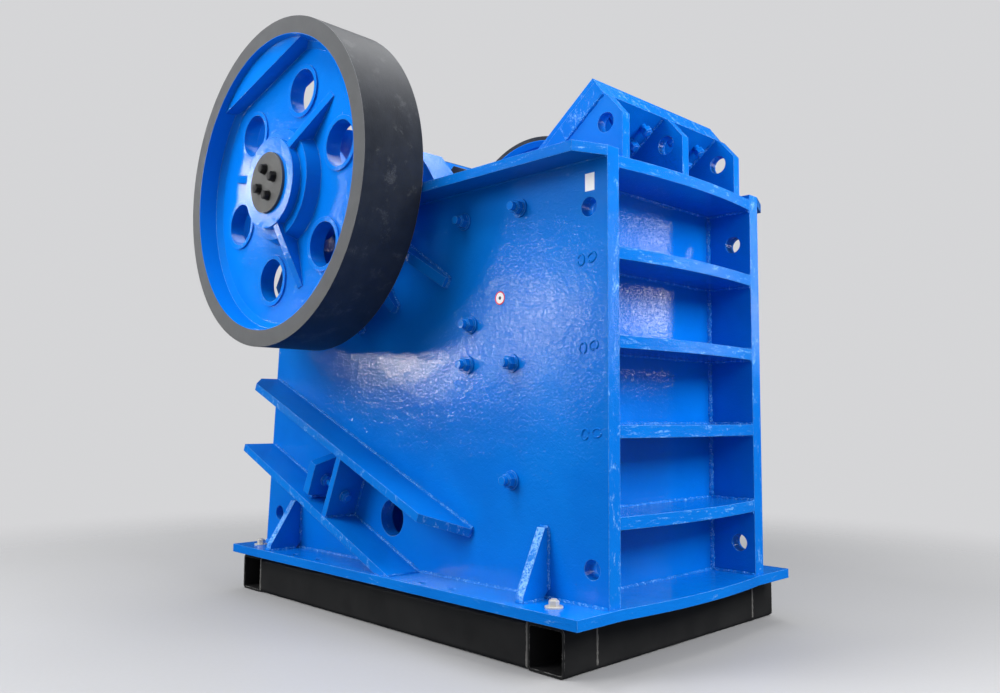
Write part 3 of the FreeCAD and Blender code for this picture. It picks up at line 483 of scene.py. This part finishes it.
# %% The fastener tree
def fastener_tree():
    tree, given = new_tree("Fasteners", {
        "Washer Radius": "Float", "Washer Height": "Float", "Head Radius": "Float",
        "Head Height": "Float", "Stud Radius": "Float", "Stud Height": "Float",
        "Seed": "Int", "Material": "Material"})

    def total(first, second, share=1.0):
        node = put(tree, "ShaderNodeMath", {"operation": "MULTIPLY_ADD"},
                   {0: first, 1: share, 2: second})
        return node.outputs[0]

    def raised(mesh, height):
        move = put(tree, "ShaderNodeCombineXYZ", None, {"Z": height})
        return put(tree, "GeometryNodeTransform", None,
                   {"Geometry": mesh, "Translation": move.outputs[0]}).outputs[0]

    def drum(sides, radius, depth, middle):
        node = put(tree, "GeometryNodeMeshCylinder", None,
                   {"Vertices": sides, "Radius": radius, "Depth": depth})
        return raised(node.outputs["Mesh"], middle)

    washer = drum(20, given["Washer Radius"], given["Washer Height"],
                  total(given["Washer Height"], 0.0, 0.5))
    head = drum(6, given["Head Radius"], total(given["Head Height"], 0.0, 0.84),
                total(given["Head Height"], given["Washer Height"], 0.42))
    tip = put(tree, "GeometryNodeMeshCone", None,
              {"Vertices": 6, "Radius Top": total(given["Head Radius"], 0.0, 0.84),
               "Radius Bottom": given["Head Radius"],
               "Depth": total(given["Head Height"], 0.0, 0.16)})
    cap = raised(tip.outputs["Mesh"], total(given["Head Height"], given["Washer Height"], 0.84))
    stud = drum(16, given["Stud Radius"], given["Stud Height"],
                total(given["Stud Height"],
                      total(given["Head Height"], given["Washer Height"]), 0.5))
    joined = put(tree, "GeometryNodeJoinGeometry")
    for mesh in (washer, head, cap, stud):
        tree.links.new(mesh, joined.inputs[0])

    aim = put(tree, "GeometryNodeInputNamedAttribute", {"data_type": "FLOAT_VECTOR"},
              {"Name": "aim"})
    toward = put(tree, "FunctionNodeAlignRotationToVector", {"axis": "Z"},
                 {"Vector": aim.outputs["Attribute"]})
    angle = put(tree, "FunctionNodeRandomValue", {"data_type": "FLOAT"},
                {"Max": 1.05, "Seed": given["Seed"]})
    spin = put(tree, "FunctionNodeAxisAngleToRotation", None,
               {"Axis": (0, 0, 1), "Angle": angle.outputs[1]})
    turn = put(tree, "FunctionNodeRotateRotation", {"rotation_space": "LOCAL"},
               {"Rotation": toward.outputs[0], "Rotate By": spin.outputs[0]})
    stood = put(tree, "GeometryNodeInstanceOnPoints", None,
                {"Points": given["Geometry"], "Instance": joined.outputs[0],
                 "Rotation": turn.outputs[0]})
    real = put(tree, "GeometryNodeRealizeInstances", None, {0: stood.outputs[0]})
    painted = put(tree, "GeometryNodeSetMaterial", None,
                  {"Geometry": real.outputs[0], "Material": given["Material"]})
    put(tree, "NodeGroupOutput", None, {0: painted.outputs[0]})
    return tree


def aimed(places):
    """A mesh of loose points, each with the direction that it faces."""
    mesh = bpy.data.meshes.new("points")
    mesh.from_pydata([place for place, _ in places], [], [])
    aim = mesh.attributes.new("aim", "FLOAT_VECTOR", "POINT")
    for item, (_, direction) in zip(aim.data, places):
        item.vector = direction
    return mesh


fasteners = fastener_tree()


def fasten(name, places, body, material, washer, head, stud, seed=1):
    """Stands fasteners on places. Each size is a radius and a height in metres."""
    sizes = {"Washer Radius": washer[0], "Washer Height": washer[1], "Head Radius": head[0],
             "Head Height": head[1], "Stud Radius": stud[0], "Stud Height": stud[1],
             "Seed": seed, "Material": material}
    return grow(name, aimed(places), fasteners, sizes, body)


# %% [markdown]
# ## Where the fasteners go
#
# Six M30 studs hold the cheek plates on each side. Eight hex bolts clamp the hood, their heads
# stood off on a bare shank. Zinc bolts on wide washers hold the base at its corners. Four bolts
# hold each cover on its shaft end. Places on the side plates are given as (back, up).

# %% Cheek studs and foundation bolts
SIDES = (-1, 1)
CHEEK_STUDS = [(0.692, 1.349), (0.398, 1.355), (0.653, 0.950), (0.668, 0.800), (0.435, 0.798),
               (0.432, 0.384)]
cheek_places = [(spot(back, up, side * (side_out - 0.001)), (0, side, 0))
                for side in SIDES for back, up in CHEEK_STUDS]
fasten("cheek_stud_nuts", cheek_places, "root", enamel_plain,
       (0.034, 0.008), (0.0265, 0.026), (0.0155, 0.020), 3)

foot_places = [(spot(back, -0.0005, side * 0.574), (0, 0, 1)) for side in SIDES
               for back in (0.152, 2.0)]
fasten("foundation_bolts", foot_places, "root", zinc,
       (0.030, 0.005), (0.0175, 0.020), (0.010, 0.003), 5)


# %% Hood bolts and cover bolts
HOOD_BACK, HOOD_UP = 0.148, 1.794


def hood_spot(down, out, across):
    """A place down the hood's slope and out from its rear face."""
    back = HOOD_BACK + down * math.cos(hood_lean) - out * math.sin(hood_lean)
    return spot(back, HOOD_UP - down * math.sin(hood_lean) - out * math.cos(hood_lean), across)


hood_out = (math.sin(hood_lean), 0, -math.cos(hood_lean))
HOOD_THICK = 0.082
hood_places = [(hood_spot(down, HOOD_THICK - 0.0005, across), hood_out)
               for across in (-0.272, -0.084, 0.084, 0.272) for down in (0.063, 0.136)]
fasten("hood_bolts", hood_places, "root", enamel_plain,
       (0.0135, 0.020), (0.0215, 0.020), (0.012, 0.002), 7)

COVER_THICK, COVER_CIRCLE = 0.0055, 0.060
cover_places = [(Vector((axis.x + COVER_CIRCLE * math.cos(way), side * (wheel_face + COVER_THICK),
                         axis.z + COVER_CIRCLE * math.sin(way))), (0, side, 0))
                for side in SIDES for way in map(math.radians, (104, 13, -163, -75))]
fasten("cover_bolts", cover_places, "rotor", bolt_black,
       (0.024, 0.002), (0.0205, 0.021), (0.011, 0.001), 9)

# %% [markdown]
# ## Weld beads
#
# A bead is a thin rope of metal laid in a corner, with a ripple for each beat of the welder's
# hand. The tree turns the edges of a mesh into curves, resamples them, makes the radius waver with
# noise and sweeps a small circle along. Half of the rope sinks into the plates, and what shows is
# a fillet.

# %% The bead tree
def bead_tree():
    tree, given = new_tree("Weld beads", {
        "Bead Radius": "Float", "Step": "Float", "Ripple": "Float", "Material": "Material"})
    curve = put(tree, "GeometryNodeMeshToCurve", None, {"Mesh": given["Geometry"]})
    even = put(tree, "GeometryNodeResampleCurve", {"mode": "LENGTH"},
               {"Curve": curve.outputs[0], "Length": given["Step"]})
    place = put(tree, "GeometryNodeInputPosition")
    noise = put(tree, "ShaderNodeTexNoise", None,
                {"Vector": place.outputs[0], "Scale": 85.0, "Detail": 1.0})
    spread = put(tree, "ShaderNodeMapRange", None,
                 {"Value": noise.outputs[0], "From Min": 0.3, "From Max": 0.7, "To Min": -1.0,
                  "To Max": 1.0})
    swell = put(tree, "ShaderNodeMath", {"operation": "MULTIPLY_ADD"},
                {0: spread.outputs[0], 1: given["Ripple"], 2: 1.0})
    wavy = put(tree, "GeometryNodeSetCurveRadius", None,
               {"Curve": even.outputs[0], "Radius": swell.outputs[0]})
    ring = put(tree, "GeometryNodeCurvePrimitiveCircle", None,
               {"Resolution": 7, "Radius": given["Bead Radius"]})
    swept = put(tree, "GeometryNodeCurveToMesh", None,
                {"Curve": wavy.outputs[0], "Profile Curve": ring.outputs[0], "Fill Caps": True})
    if "Scale" in swept.inputs:
        tree.links.new(swell.outputs[0], swept.inputs["Scale"])
    smooth = put(tree, "GeometryNodeSetShadeSmooth", None, {"Geometry": swept.outputs[0]})
    real = put(tree, "GeometryNodeRealizeInstances", None, {0: smooth.outputs[0]})
    painted = put(tree, "GeometryNodeSetMaterial", None,
                  {"Geometry": real.outputs[0], "Material": given["Material"]})
    put(tree, "NodeGroupOutput", None, {0: painted.outputs[0]})
    return tree


beads = bead_tree()


def runs(lines):
    """A mesh of separate polylines."""
    points, edges = [], []
    for line in lines:
        first = len(points)
        points += [Vector(p) for p in line]
        edges += [(n, n + 1) for n in range(first, len(points) - 1)]
    mesh = bpy.data.meshes.new("runs")
    mesh.from_pydata(points, edges, [])
    return mesh


def weld(name, lines, radius, material=None, step=0.006):
    return grow(name, runs(lines), beads, {"Bead Radius": radius, "Step": step, "Ripple": 0.30,
                                           "Material": material or weld_blue}, "root")


def mirrored(lines):
    """The same runs on both sides of the machine."""
    return [[(p[0], side * p[1], p[2]) for p in line] for line in lines for side in SIDES]


# %% [markdown]
# ## Welding the box
#
# The side plates stand on the base plate, the front wall and its ribs stand between them, and the
# top flanges run along them. Every seam gets a bead on each face that a torch could reach.

# %% Side plate, flange and front seams
flange_under = side_tall - 0.036
weld("side_plate_welds", mirrored([[spot(0.004, 0, side_out), spot(2.1, 0, side_out)]]), 0.0085)
weld("top_flange_welds", mirrored([[spot(0.004, flange_under, side_out),
                                    spot(1.178, flange_under, side_out)]]), 0.006, enamel_plain)

RIB_TOPS = [0.287 + 0.295 * n for n in range(4)]
RIB_THICK = 0.042
wall = 0.193
seams = [[spot(wall, 0, -side_in), spot(wall, 0, side_in)]]
upright_seams = [[spot(wall, 0.002, side_in), spot(wall, 1.434, side_in)]]
corners = [[spot(0.004, 0, side_in), spot(wall, 0, side_in)]]
for top in RIB_TOPS:
    for height in (top, top - RIB_THICK):
        seams.append([spot(wall, height, -side_in), spot(wall, height, side_in)])
        corners.append([spot(0.003, height, side_in), spot(wall, height, side_in)])
seams.append([spot(wall, 1.436, -side_in), spot(wall, 1.436, side_in)])
corners += [[spot(0.003, height, side_in), spot(wall, height, side_in)]
            for height in (1.436, 1.476)]
weld("front_rib_welds", seams + mirrored(corners), 0.008)
weld("front_corner_welds", mirrored(upright_seams), 0.0125)

# %% [markdown]
# ## Welding the toggle supports
#
# Two bars slope down each side at 22.7 degrees and carry the toggle's thrust. Their own frame,
# along the slope and above it, makes every seam there a straight line between two round numbers.

# %% Stay and adjuster seams
TOGGLE_BACK, TOGGLE_UP = 1.440, 0.355


def slope_spot(along, above, out):
    """A place along the toggle line, down to the front, and above it."""
    back = TOGGLE_BACK - along * math.cos(lean) - above * math.sin(lean)
    return spot(back, TOGGLE_UP - along * math.sin(lean) + above * math.cos(lean), out)


def foot_along(above):
    """Where a line parallel to the slope meets the base plate."""
    return (TOGGLE_UP + above * math.cos(lean)) / math.sin(lean)


STAY_FACES = (0.133, 0.166)
stay_out = side_out + 0.155
stay_lines = [[slope_spot(-0.704, above, side_out), slope_spot(0.806, above, side_out)]
              for above in STAY_FACES]
for above in (-face for face in STAY_FACES):
    end = foot_along(above)
    stay_lines.append([slope_spot(-0.612, above, side_out), slope_spot(end, above, side_out)])
    stay_lines.append([slope_spot(end, above, side_out), slope_spot(end, above, stay_out - 0.004)])
for along in (0.095, 0.125):
    stay_lines.append([slope_spot(along, -0.133, side_out), slope_spot(along, 0.133, side_out)])
    stay_lines += [[slope_spot(along, above, side_out), slope_spot(along, above, side_out + 0.146)]
                   for above in (-0.133, 0.133)]
for along in (-0.074, -0.032):
    stay_lines.append([slope_spot(along, -0.125, side_out), slope_spot(along, 0.085, side_out)])
stay_lines.append([slope_spot(-0.050, -0.130, side_out),
                   slope_spot(-0.050, -0.125, side_out + 0.12)])
weld("toggle_support_welds", mirrored(stay_lines), 0.0075)

# %% [markdown]
# ## Welding gussets, bearing ribs and hood
#
# Small gussets prop the side plates: each is given as its near and far face, its height and its
# reach. Under each bearing six ribs fan out from a half-round seat: each is given as its angle
# below the horizontal and its reach from the shaft. The hood's three lifting lugs stand on the
# front top plate.

# %% Gusset seams
FRONT_GUSSET = (0.258, 0.293, 0.235, 0.122)
REAR_GUSSET = (1.800, 1.835, 0.214, 0.155)
gusset_lines = []
for near, far, tall, reach in (FRONT_GUSSET, REAR_GUSSET):
    for back in (near, far):
        gusset_lines += [[spot(back, 0.028, side_out), spot(back, tall, side_out)],
                         [spot(back, 0, side_out + 0.028), spot(back, 0, side_out + reach)]]
    gusset_lines.append([spot(near, tall, side_out), spot(far, tall, side_out)])
    gusset_lines.append([spot(near, 0.003, side_out + reach), spot(far, 0.003, side_out + reach)])
weld("gusset_welds", mirrored(gusset_lines), 0.0075)


# %% Bearing rib seams
def about_shaft(radius, way, out):
    """A place at a radius and an angle below the horizontal from the shaft's axis."""
    return Vector((axis.x + radius * math.cos(way), out, axis.z - radius * math.sin(way)))


SEAT_RADIUS = 0.300
RIB_HALF = 0.020
RIB_FAN = {33: 0.823, 55: 0.642, 78: 0.620, 101: 0.620, 124: 0.640, 147: 0.660}
rib_lines = [[about_shaft(SEAT_RADIUS, math.radians(way), side_out) for way in range(14, 167, 4)]]
for way, reach in RIB_FAN.items():
    turn = math.radians(way)
    across = Vector((math.sin(turn), 0, math.cos(turn))) * RIB_HALF
    for side in (-1, 1):
        start = about_shaft(SEAT_RADIUS, turn, side_out) + across * side
        end = about_shaft(reach, turn, side_out) + across * side
        rib_lines.append([start, end])
    tip = about_shaft(reach, turn, side_out)
    rib_lines.append([tip - across, tip + across])
weld("bearing_rib_welds", mirrored(rib_lines), 0.008)

# %% Hood seams
LUG_THICK = 0.040
top_plate = 1.476
hood_lines = []
for low in (-0.379, -0.020, 0.339):
    for face in (low, low + LUG_THICK):
        hood_lines.append([spot(0.020, top_plate, face), spot(0.250, top_plate, face)])
        hood_lines.append([hood_spot(0.004, HOOD_THICK, face), hood_spot(0.326, HOOD_THICK, face)])
    hood_lines.append([spot(0.018, top_plate, low), spot(0.018, top_plate, low + LUG_THICK)])
weld("hood_lug_welds", hood_lines, 0.0065)

# %% [markdown]
# ## Skid seams
#
# The side beams butt against the cross tubes, and short corner pieces are let into the tubes'
# ends. Their welds are the same rope in black, speckled with spatter that the paint missed.

# %% Skid welds
tube_near, tube_far = (corner.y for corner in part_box("skid_front_tube"))
TUBE_WIDE = 0.160
joints = [tube_near, tube_near + TUBE_WIDE, tube_far - TUBE_WIDE, tube_far]
skid_lines = [[spot(back, -0.200, out), spot(back, -0.056, out)]
              for back in (0.247, 1.951) for out in joints]
for back, inward in ((0.087, 1), (2.111, -1)):
    for out in joints[1:3]:
        skid_lines.append([spot(back, -0.192, out), spot(back, -0.072, out)])
        skid_lines.append([spot(back + inward * 0.018, -0.0545, out),
                           spot(back + inward * 0.142, -0.0545, out)])
weld("skid_welds", skid_lines, 0.0045, spattered)

# %% [markdown]
# ## Plug welds, sticker and label
#
# Each rib is also plug welded through the side plate, which leaves pairs of shallow rings near the
# front edge. The side carries a round sticker and a small label. Both are blank here.

# %% Plug weld rings
def ring(back, up, radius, side):
    """A ring that the welder did not close, a little out of round."""
    start = 9 * back + 5 * up
    line = []
    for turn in (start + 5.6 * n / 18 for n in range(19)):
        reach = radius * (1 + 0.14 * math.sin(2 * turn + 40 * back))
        line.append(spot(back + reach * math.cos(turn), up + reach * math.sin(turn),
                         side * side_out))
    return line


PLUGS = [(0.113, 1.131), (0.066, 1.135), (0.105, 0.835), (0.058, 0.843), (0.097, 0.552),
         (0.047, 0.557)]
weld("plug_weld_rings", [ring(back, up, 0.016, side) for back, up in PLUGS for side in SIDES],
     0.0034, enamel_plain, 0.004)

# %% [markdown]
# The sticker and the label are thin film. Each is a flat outline given a thickness by Solidify,
# which is applied at once. The sticker's red rim and black dot depend only on the distance from
# its centre, so the shader works them out from a Distance node.

# %% Film and its pieces
def film(name, thickness, outline, side, material):
    """A flat outline on a side plate, given a thickness outwards."""
    mesh = bpy.data.meshes.new(name)
    order = outline if side < 0 else outline[::-1]
    mesh.from_pydata([(p.x, p.y + side * 0.0002, p.z) for p in order], [], [range(len(order))])
    piece = bpy.data.objects.new(name, mesh)
    bpy.context.scene.collection.objects.link(piece)
    solid = piece.modifiers.new("Thickness", "SOLIDIFY")
    solid.thickness = thickness
    solid.offset = 1
    graph = bpy.context.evaluated_depsgraph_get()
    piece.data = bpy.data.meshes.new_from_object(piece.evaluated_get(graph), depsgraph=graph)
    piece.modifiers.clear()
    piece.data.materials.clear()
    piece.data.materials.append(material)
    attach(piece, "root")
    return piece


def sticker_film(centre):
    f = Finish("round_sticker")
    apart = f.put("ShaderNodeVectorMath", {"operation": "DISTANCE"},
                  {0: f.coords.outputs["Object"], 1: centre})
    distance = f.value(apart.outputs["Value"])
    grain = f.noise(300, 2)
    colour = f.mix(distance.above(0.0060, 0.0068), (0.020, 0.020, 0.022), (0.82, 0.82, 0.83))
    colour = f.mix(distance.above(0.0196, 0.0204), colour, (0.72, 0.030, 0.030))
    return f.finish(colour, 0.30 + grain * 0.08, grain, 0.0001)


def label_film():
    f = Finish("blank_label")
    grain = f.noise(260, 3)
    soiled = f.noise(45, 4, 0.7).above(0.5, 0.8)
    colour = f.mix(soiled * 0.4, (0.94, 0.94, 0.95), (0.74, 0.70, 0.70))
    return f.finish(colour, 0.38 + grain * 0.1, grain, 0.0001)


STICKER_RADIUS = 0.025
sticker_centre = spot(0.498, 1.038, -side_out)
disc = [sticker_centre + Vector((STICKER_RADIUS * math.cos(t), 0, STICKER_RADIUS * math.sin(t)))
        for t in (2 * math.pi * n / 40 for n in range(40))]
film("round_sticker", 0.0004, disc, -1, sticker_film(sticker_centre))
label_spots = [(0.0945, 1.359), (0.0545, 1.359), (0.0545, 1.419), (0.0945, 1.419)]
film("blank_label", 0.0004, [spot(b, u, -side_out) for b, u in label_spots], -1, label_film())

# %% [markdown]
# ## Adjusting bolts
#
# A long bolt runs along the slope through the lug and into the web on each side, and sets the
# crusher's gap. It is a threaded rod with a nut and washer against the lug. The rod is one bead of
# the weld tree with no ripple, since that tree is simply a circle swept along a line.

# %% Fit the adjusting bolts
ROD_ABOVE, ROD_OUT = -0.038, 0.080
bolt_line = [[slope_spot(-0.100, ROD_ABOVE, side_out + ROD_OUT),
              slope_spot(0.150, ROD_ABOVE, side_out + ROD_OUT)]]
grow("adjusting_rods", runs(mirrored(bolt_line)), beads,
     {"Bead Radius": 0.0150, "Step": 0.01, "Ripple": 0.0, "Material": enamel_plain}, "root")
down_slope = Vector((math.cos(lean), 0, -math.sin(lean)))
nut_places = []
for side in SIDES:
    for along, toward in ((-0.0735, -1), (-0.0325, 1), (0.0955, -1), (0.1245, 1)):
        place = slope_spot(along, ROD_ABOVE, side * (side_out + ROD_OUT))
        nut_places.append((place, down_slope * toward))
fasten("adjusting_nuts", nut_places, "root", enamel_plain,
       (0.028, 0.004), (0.0265, 0.020), (0.015, 0.004), 11)

# %% [markdown]
# ## Camera
#
# The camera stands low in front of the left corner with a 31 mm lens and looks up a little. Its
# turn is built from three directions at right angles: right, up and the way it looks.

# %% Set the camera
camera = bpy.data.objects.new("camera", bpy.data.cameras.new("camera"))
bpy.context.scene.collection.objects.link(camera)
camera.data.sensor_width = 36
camera.data.lens = 31.38
yaw, pitch, roll = math.radians(45.47), math.radians(4.51), math.radians(0.33)
ahead = Vector((-math.sin(yaw) * math.cos(pitch), math.cos(yaw) * math.cos(pitch), math.sin(pitch)))
level = Vector((math.cos(yaw), math.sin(yaw), 0))
upright = level.cross(ahead)
right = math.cos(roll) * level + math.sin(roll) * upright
upward = -math.sin(roll) * level + math.cos(roll) * upright
turn = Matrix((right, upward, -ahead)).transposed()
camera.matrix_world = Matrix.Translation((2.806, -2.695, 0.8222)) @ turn.to_4x4()
bpy.context.scene.camera = camera
print("camera 31 mm, 4 m from the corner")

# %% [markdown]
# ## Floor and studio
#
# Gloss paint shows what is around it. Small soft boxes on the left are mirrored in the side plate
# as bright rippled patches, and two on the right do the same on the ribbed front. Broad boxes give
# the even light, and most of those are hidden from reflections, so that the blue keeps its depth.
# The floor is a pale disc that fades out into a backdrop of the same tone, so no horizon shows. It
# is also hidden from reflections and bounced light.

# %% Lay the floor
def floor_finish():
    f = Finish("pale_floor")
    cloud = f.noise(0.9, 3)
    grain = f.noise(60, 3)
    far = f.put("ShaderNodeVectorMath", {"operation": "LENGTH"}, {0: f.coords.outputs["Object"]})
    fade = f.value(far.outputs["Value"]).above(1.7, 4.6)
    shade = f.put("ShaderNodeBsdfPrincipled", None,
                  {"Base Color": f.mix(cloud, (0.365, 0.365, 0.369), (0.385, 0.385, 0.389)),
                   "Roughness": 0.42 + grain * 0.1, "Specular IOR Level": 0.35})
    clear = f.put("ShaderNodeBsdfTransparent")
    both_ways = f.put("ShaderNodeMixShader", None,
                      {0: fade, 1: shade.outputs[0], 2: clear.outputs[0]})
    f.put("ShaderNodeOutputMaterial", None, {"Surface": both_ways.outputs[0]})
    return f.material


FLOOR_RADIUS = 12
floor_mesh = bpy.data.meshes.new("floor")
around = [(FLOOR_RADIUS * math.cos(t), FLOOR_RADIUS * math.sin(t), -0.0005)
          for t in (2 * math.pi * n / 96 for n in range(96))]
floor_mesh.from_pydata(around, [], [range(96)])
floor_mesh.materials.append(floor_finish())
floor = bpy.data.objects.new("floor", floor_mesh)
bpy.context.scene.collection.objects.link(floor)
floor.visible_glossy = False
floor.visible_diffuse = False


# %% Hang the lights
def soft_box(name, place, target, width, height, power, shape="RECTANGLE", in_gloss=True):
    light = bpy.data.lights.new(name, "AREA")
    light.shape = shape
    light.size, light.size_y = width, height
    light.energy = power
    lamp = bpy.data.objects.new(name, light)
    bpy.context.scene.collection.objects.link(lamp)
    lamp.location = place
    lamp.rotation_euler = (Vector(target) - Vector(place)).to_track_quat("-Z", "Y").to_euler()
    lamp.visible_camera = False
    lamp.visible_glossy = in_gloss
    return lamp


soft_box("left_window", (-2.95, -2.92, 1.34), (-0.06, -0.48, 1.07), 0.30, 0.32, 9.5, "ELLIPSE")
soft_box("left_panel", (-1.95, -3.42, 1.70), (0.75, -0.48, 1.2), 0.34, 0.32, 4.6, "ELLIPSE")
soft_box("left_low_panel", (-2.05, -3.40, 1.26), (0.66, -0.48, 0.95), 0.24, 0.24, 2.0, "ELLIPSE")
soft_box("left_high_window", (-4.0, -2.7, 2.8), (-0.6, -0.8, 1.9), 0.4, 0.5, 8, "ELLIPSE")
soft_box("right_window", (3.10, 3.38, 2.25), (0.86, 0.13, 1.5), 0.45, 0.24, 3)
soft_box("right_low_window", (3.10, 3.40, 1.62), (0.86, 0.15, 1.2), 0.45, 0.30, 5)
soft_box("top_box", (0.0, 1.0, 5.4), (0, 0, 0.9), 4.2, 2.6, 90)
soft_box("sky_fill", (0.2, -0.4, 5.6), (0, 0, 0.9), 3.6, 3.0, 85, in_gloss=False)
soft_box("left_top_fill", (-0.6, -2.7, 5.0), (0, -0.5, 1.0), 1.8, 1.4, 110, in_gloss=False)
soft_box("left_fill", (-2.0, -4.6, 3.4), (0, -0.5, 1.0), 2.6, 2.0, 180, in_gloss=False)
soft_box("right_fill", (4.8, 0.4, 3.4), (0.9, 0, 0.8), 2.4, 2.2, 280, in_gloss=False)
print("eleven soft boxes")

# %% [markdown]
# The world gives even light from all round, dimmer from below. The camera itself sees a plain pale
# backdrop instead, which a Light Path node allows in a world without touching any material.

# %% Fill light and backdrop
world = bpy.data.worlds.new("studio")
bpy.context.scene.world = world
world.use_nodes = True
tree = world.node_tree
tree.nodes.clear()
direction = put(tree, "ShaderNodeTexCoord")
parts = put(tree, "ShaderNodeSeparateXYZ", None, {0: direction.outputs["Generated"]})
fill = put(tree, "ShaderNodeValToRGB",
           {"stops": [(0.0, (0.20, 0.21, 0.23)), (0.48, (0.42, 0.43, 0.45)),
                      (1.0, (0.70, 0.71, 0.73))]},
           {"Fac": put(tree, "ShaderNodeMapRange", None,
                       {"Value": parts.outputs[2], "From Min": -1.0}).outputs[0]})
seen = put(tree, "ShaderNodeLightPath")
dim = put(tree, "ShaderNodeMix", {"data_type": "RGBA"},
          {0: seen.outputs["Is Glossy Ray"], 6: fill.outputs[0], 7: (0.030, 0.034, 0.042, 1)})
shown = put(tree, "ShaderNodeMix", {"data_type": "RGBA"},
            {0: seen.outputs["Is Camera Ray"], 6: dim.outputs[2], 7: (0.665, 0.667, 0.680, 1)})
light = put(tree, "ShaderNodeBackground", None, {"Color": shown.outputs[2], "Strength": 1.0})
put(tree, "ShaderNodeOutputWorld", None, {"Surface": light.outputs[0]})
bpy.context.scene.view_settings.view_transform = "Standard"

# %% [markdown]
# ## Finish
#
# The view layer is brought up to date once more.

# %% Finish
bpy.context.view_layer.update()
